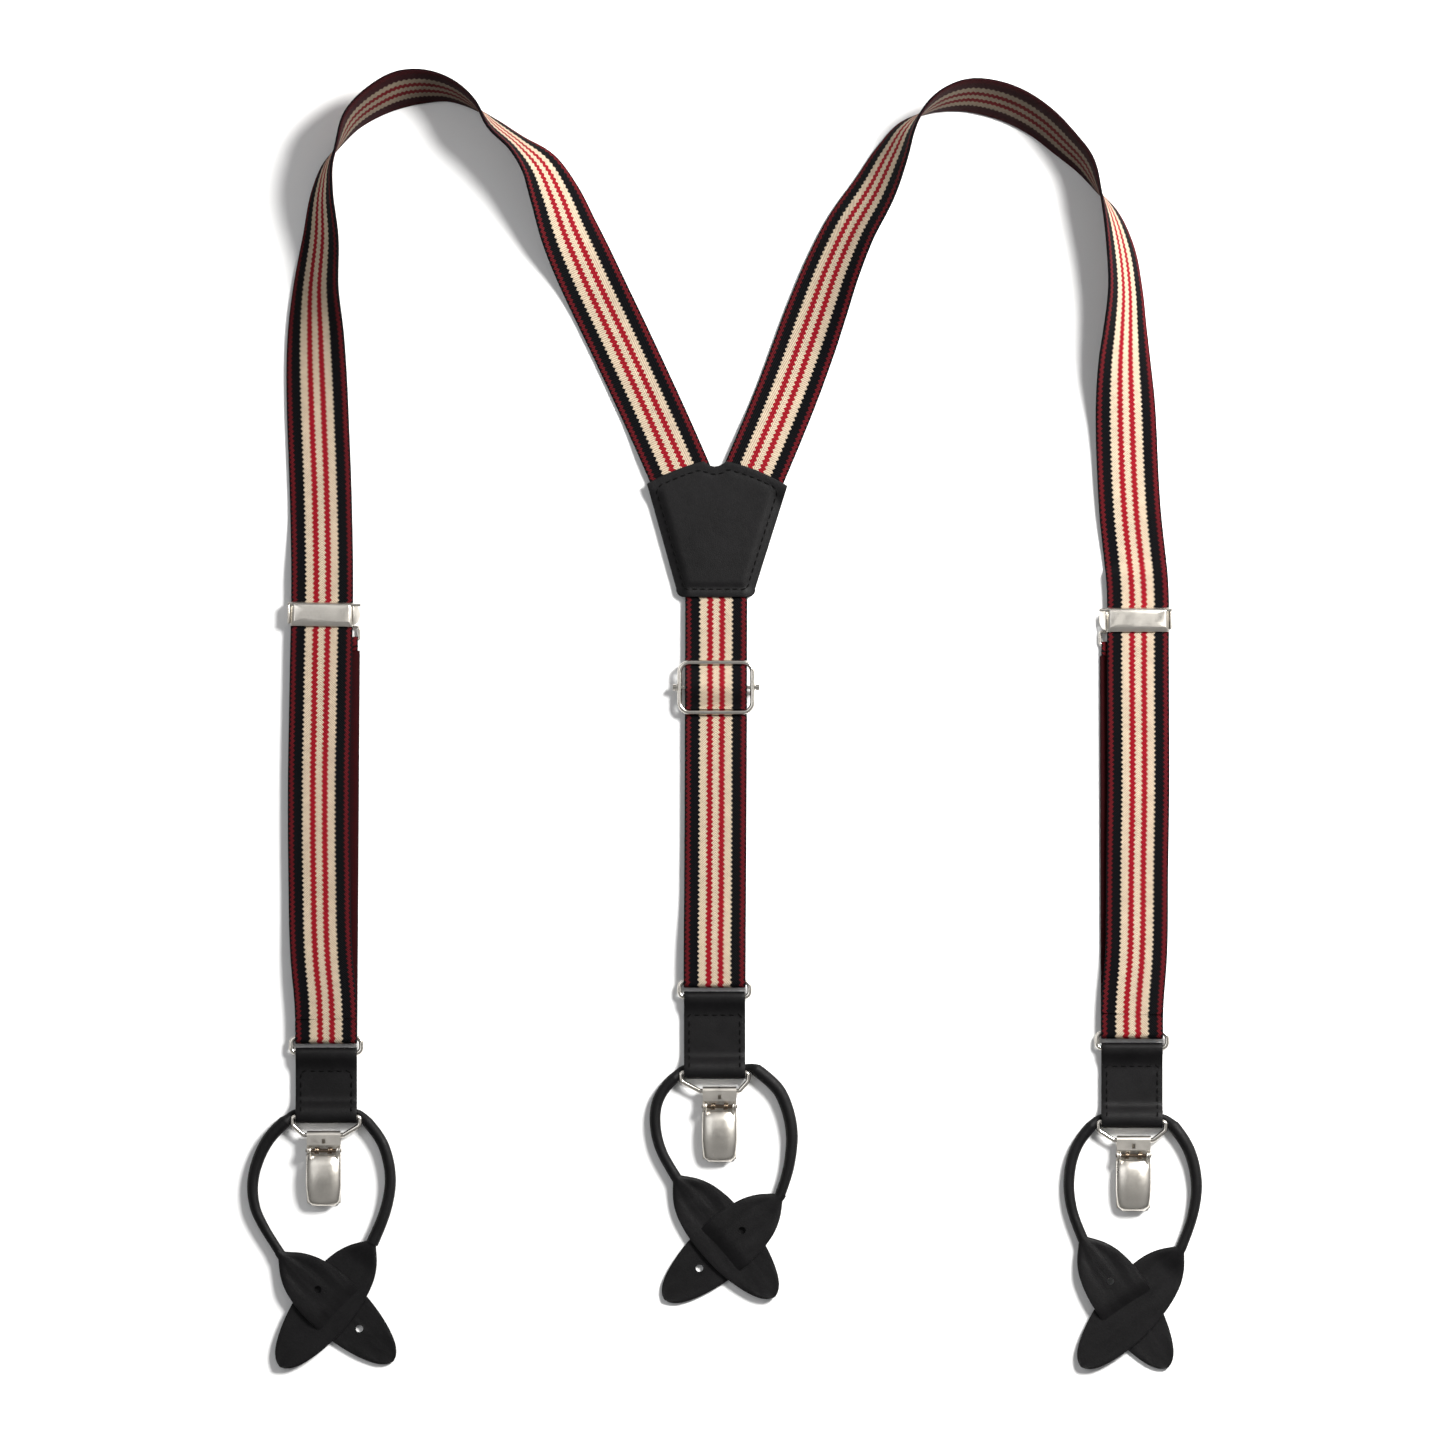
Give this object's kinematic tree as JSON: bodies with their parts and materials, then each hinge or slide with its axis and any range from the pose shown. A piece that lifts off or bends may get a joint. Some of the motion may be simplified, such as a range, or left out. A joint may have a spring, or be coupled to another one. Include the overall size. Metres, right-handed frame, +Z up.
{
  "type": "suspenders",
  "caption": "Y-back striped elastic braces with leather patch, sliding adjusters, swinging clips and rolled leather button loops, lying flat.",
  "frame": {"origin": "middle of the box round the braces without the rolled leather arms, on the table that they lie on", "axes": "+Z up from the table, +Y towards the shoulder arches, +X to the right"},
  "size_m": [0.385, 0.5234, 0.025],
  "materials": {
    "webbing": "woven elastic webbing, striped black, maroon, cream and red",
    "leather": "matt black leather, fine grain",
    "nickel_wire": "bright nickel-plated round wire",
    "nickel_plate": "satin nickel-plated sheet",
    "grip_pad": "ribbed black grip pad"
  },
  "bodies": {
    "harness": {"webbing_front_left": "webbing", "webbing_front_right": "webbing", "webbing_back": "webbing", "patch_rear": "leather", "patch_front": "leather"},
    "slide_back": {"slide_frame": "nickel_wire", "slide_bar": "nickel_wire", "webbing_over_bar": "webbing"},
    "adjuster_left": {"adjuster_base_left": "nickel_plate", "adjuster_pin_left": "nickel_plate", "adjuster_loop_left": "nickel_wire", "webbing_hem_left": "webbing"},
    "lever_left": {"adjuster_lever_left": "nickel_plate"},
    "adjuster_right": {"adjuster_base_right": "nickel_plate", "adjuster_pin_right": "nickel_plate", "adjuster_loop_right": "nickel_wire", "webbing_hem_right": "webbing"},
    "lever_right": {"adjuster_lever_right": "nickel_plate"},
    "end_left": {"webbing_return_left": "webbing"},
    "ring_left": {"ring_left": "nickel_wire"},
    "tab_left": {"end_tab_left": "leather"},
    "wire_left": {"clip_wire_left": "nickel_wire"},
    "clip_left": {"clip_body_left": "nickel_plate", "clip_pin_left": "nickel_plate", "clip_spring_left": "nickel_plate", "clip_pad_left": "grip_pad"},
    "jaw_left": {"clip_jaw_left": "nickel_plate"},
    "loop_left": {"loop_core_left": "leather", "loop_arm_left_left": "leather", "loop_arm_left_right": "leather", "leaf_left_left": "leather", "leaf_left_right": "leather"},
    "end_right": {"webbing_return_right": "webbing"},
    "ring_right": {"ring_right": "nickel_wire"},
    "tab_right": {"end_tab_right": "leather"},
    "wire_right": {"clip_wire_right": "nickel_wire"},
    "clip_right": {"clip_body_right": "nickel_plate", "clip_pin_right": "nickel_plate", "clip_spring_right": "nickel_plate", "clip_pad_right": "grip_pad"},
    "jaw_right": {"clip_jaw_right": "nickel_plate"},
    "loop_right": {"loop_core_right": "leather", "loop_arm_right_left": "leather", "loop_arm_right_right": "leather", "leaf_right_left": "leather", "leaf_right_right": "leather"},
    "end_back": {"webbing_return_back": "webbing"},
    "ring_back": {"ring_back": "nickel_wire"},
    "tab_back": {"end_tab_back": "leather"},
    "wire_back": {"clip_wire_back": "nickel_wire"},
    "clip_back": {"clip_body_back": "nickel_plate", "clip_pin_back": "nickel_plate", "clip_spring_back": "nickel_plate", "clip_pad_back": "grip_pad"},
    "jaw_back": {"clip_jaw_back": "nickel_plate"},
    "loop_back": {"loop_core_back": "leather", "loop_arm_back_left": "leather", "loop_arm_back_right": "leather", "leaf_back_left": "leather", "leaf_back_right": "leather"}
  },
  "joints": [
    {"name": "adjuster_left_slide", "type": "slide", "parent": "harness", "child": "adjuster_left", "axis": [-0.0178, -0.9998, 0], "range_m": [0, 0.06], "deforming": ["webbing_return_left"]},
    {"name": "lever_left_hinge", "type": "hinge", "parent": "adjuster_left", "child": "lever_left", "pos_m": [-0.16438, 0.04646, 0.005], "axis": [-0.9998, 0.0178, 0], "range_deg": [0, 60]},
    {"name": "end_left_follow", "type": "slide", "parent": "adjuster_left", "child": "end_left", "axis": [0.0178, 0.9998, 0], "range_m": [0, 0.03]},
    {"name": "ring_left_hinge", "type": "hinge", "parent": "end_left", "child": "ring_left", "pos_m": [-0.16268, -0.12814, 0.00245], "axis": [-1, 0, 0], "range_deg": [0, 45]},
    {"name": "tab_left_hinge", "type": "hinge", "parent": "ring_left", "child": "tab_left", "pos_m": [-0.16268, -0.13434, 0.00245], "axis": [-1, 0, 0], "range_deg": [0, 45]},
    {"name": "clip_wire_left_hinge", "type": "hinge", "parent": "tab_left", "child": "wire_left", "pos_m": [-0.16268, -0.16004, 0.00365], "axis": [-1, 0, 0], "range_deg": [0, 60]},
    {"name": "clip_left_hinge", "type": "hinge", "parent": "wire_left", "child": "clip_left", "pos_m": [-0.16368, -0.16734, 0.00365], "axis": [-1, 0, 0], "range_deg": [0, 45]},
    {"name": "clip_jaw_left_hinge", "type": "hinge", "parent": "clip_left", "child": "jaw_left", "pos_m": [-0.16368, -0.17354, 0.0052], "axis": [-1, 0, 0], "range_deg": [0, 70], "stiffness_Nm_per_rad": 0.01, "springref_deg": -17.19},
    {"name": "button_loop_left_hinge", "type": "hinge", "parent": "tab_left", "child": "loop_left", "pos_m": [-0.16268, -0.15784, 0.0024], "axis": [-1, 0, 0], "range_deg": [0, 45]},
    {"name": "adjuster_right_slide", "type": "slide", "parent": "harness", "child": "adjuster_right", "axis": [0.0042, -1, 0], "range_m": [0, 0.06], "deforming": ["webbing_return_right"]},
    {"name": "lever_right_hinge", "type": "hinge", "parent": "adjuster_right", "child": "lever_right", "pos_m": [0.16434, 0.04426, 0.005], "axis": [-1, -0.0042, 0], "range_deg": [0, 60]},
    {"name": "end_right_follow", "type": "slide", "parent": "adjuster_right", "child": "end_right", "axis": [-0.0042, 1, 0], "range_m": [0, 0.03]},
    {"name": "ring_right_hinge", "type": "hinge", "parent": "end_right", "child": "ring_right", "pos_m": [0.16202, -0.12614, 0.00245], "axis": [-1, 0, 0], "range_deg": [0, 45]},
    {"name": "tab_right_hinge", "type": "hinge", "parent": "ring_right", "child": "tab_right", "pos_m": [0.16202, -0.13234, 0.00245], "axis": [-1, 0, 0], "range_deg": [0, 45]},
    {"name": "clip_wire_right_hinge", "type": "hinge", "parent": "tab_right", "child": "wire_right", "pos_m": [0.16202, -0.16204, 0.00365], "axis": [-1, 0, 0], "range_deg": [0, 60]},
    {"name": "clip_right_hinge", "type": "hinge", "parent": "wire_right", "child": "clip_right", "pos_m": [0.16262, -0.16934, 0.00365], "axis": [-1, 0, 0], "range_deg": [0, 45]},
    {"name": "clip_jaw_right_hinge", "type": "hinge", "parent": "clip_right", "child": "jaw_right", "pos_m": [0.16262, -0.17554, 0.0052], "axis": [-1, 0, 0], "range_deg": [0, 70], "stiffness_Nm_per_rad": 0.01, "springref_deg": -17.19},
    {"name": "button_loop_right_hinge", "type": "hinge", "parent": "tab_right", "child": "loop_right", "pos_m": [0.16202, -0.15984, 0.0024], "axis": [-1, 0, 0], "range_deg": [0, 45]},
    {"name": "slide_back_slide", "type": "slide", "parent": "harness", "child": "slide_back", "axis": [0, -1, 0], "range_m": [0, 0.04], "deforming": ["webbing_return_back"]},
    {"name": "end_back_follow", "type": "slide", "parent": "slide_back", "child": "end_back", "axis": [0, 1, 0], "range_m": [0, 0.02]},
    {"name": "ring_back_hinge", "type": "hinge", "parent": "end_back", "child": "ring_back", "pos_m": [-0.00618, -0.10554, 0.00245], "axis": [-1, 0, 0], "range_deg": [0, 45]},
    {"name": "tab_back_hinge", "type": "hinge", "parent": "ring_back", "child": "tab_back", "pos_m": [-0.00618, -0.11174, 0.00245], "axis": [-1, 0, 0], "range_deg": [0, 45]},
    {"name": "clip_wire_back_hinge", "type": "hinge", "parent": "tab_back", "child": "wire_back", "pos_m": [-0.00618, -0.14224, 0.00365], "axis": [-1, 0, 0], "range_deg": [0, 60]},
    {"name": "clip_back_hinge", "type": "hinge", "parent": "wire_back", "child": "clip_back", "pos_m": [-0.00418, -0.14954, 0.00365], "axis": [-1, 0, 0], "range_deg": [0, 45]},
    {"name": "clip_jaw_back_hinge", "type": "hinge", "parent": "clip_back", "child": "jaw_back", "pos_m": [-0.00418, -0.15574, 0.0052], "axis": [-1, 0, 0], "range_deg": [0, 70], "stiffness_Nm_per_rad": 0.01, "springref_deg": -17.19},
    {"name": "button_loop_back_hinge", "type": "hinge", "parent": "tab_back", "child": "loop_back", "pos_m": [-0.00618, -0.14004, 0.0024], "axis": [-1, 0, 0], "range_deg": [0, 45]}
  ],
  "couplings": [
    {"joint": "end_left_follow", "follows": "adjuster_left_slide", "ratio": 0.5},
    {"joint": "end_right_follow", "follows": "adjuster_right_slide", "ratio": 0.5},
    {"joint": "end_back_follow", "follows": "slide_back_slide", "ratio": 0.5}
  ]
}
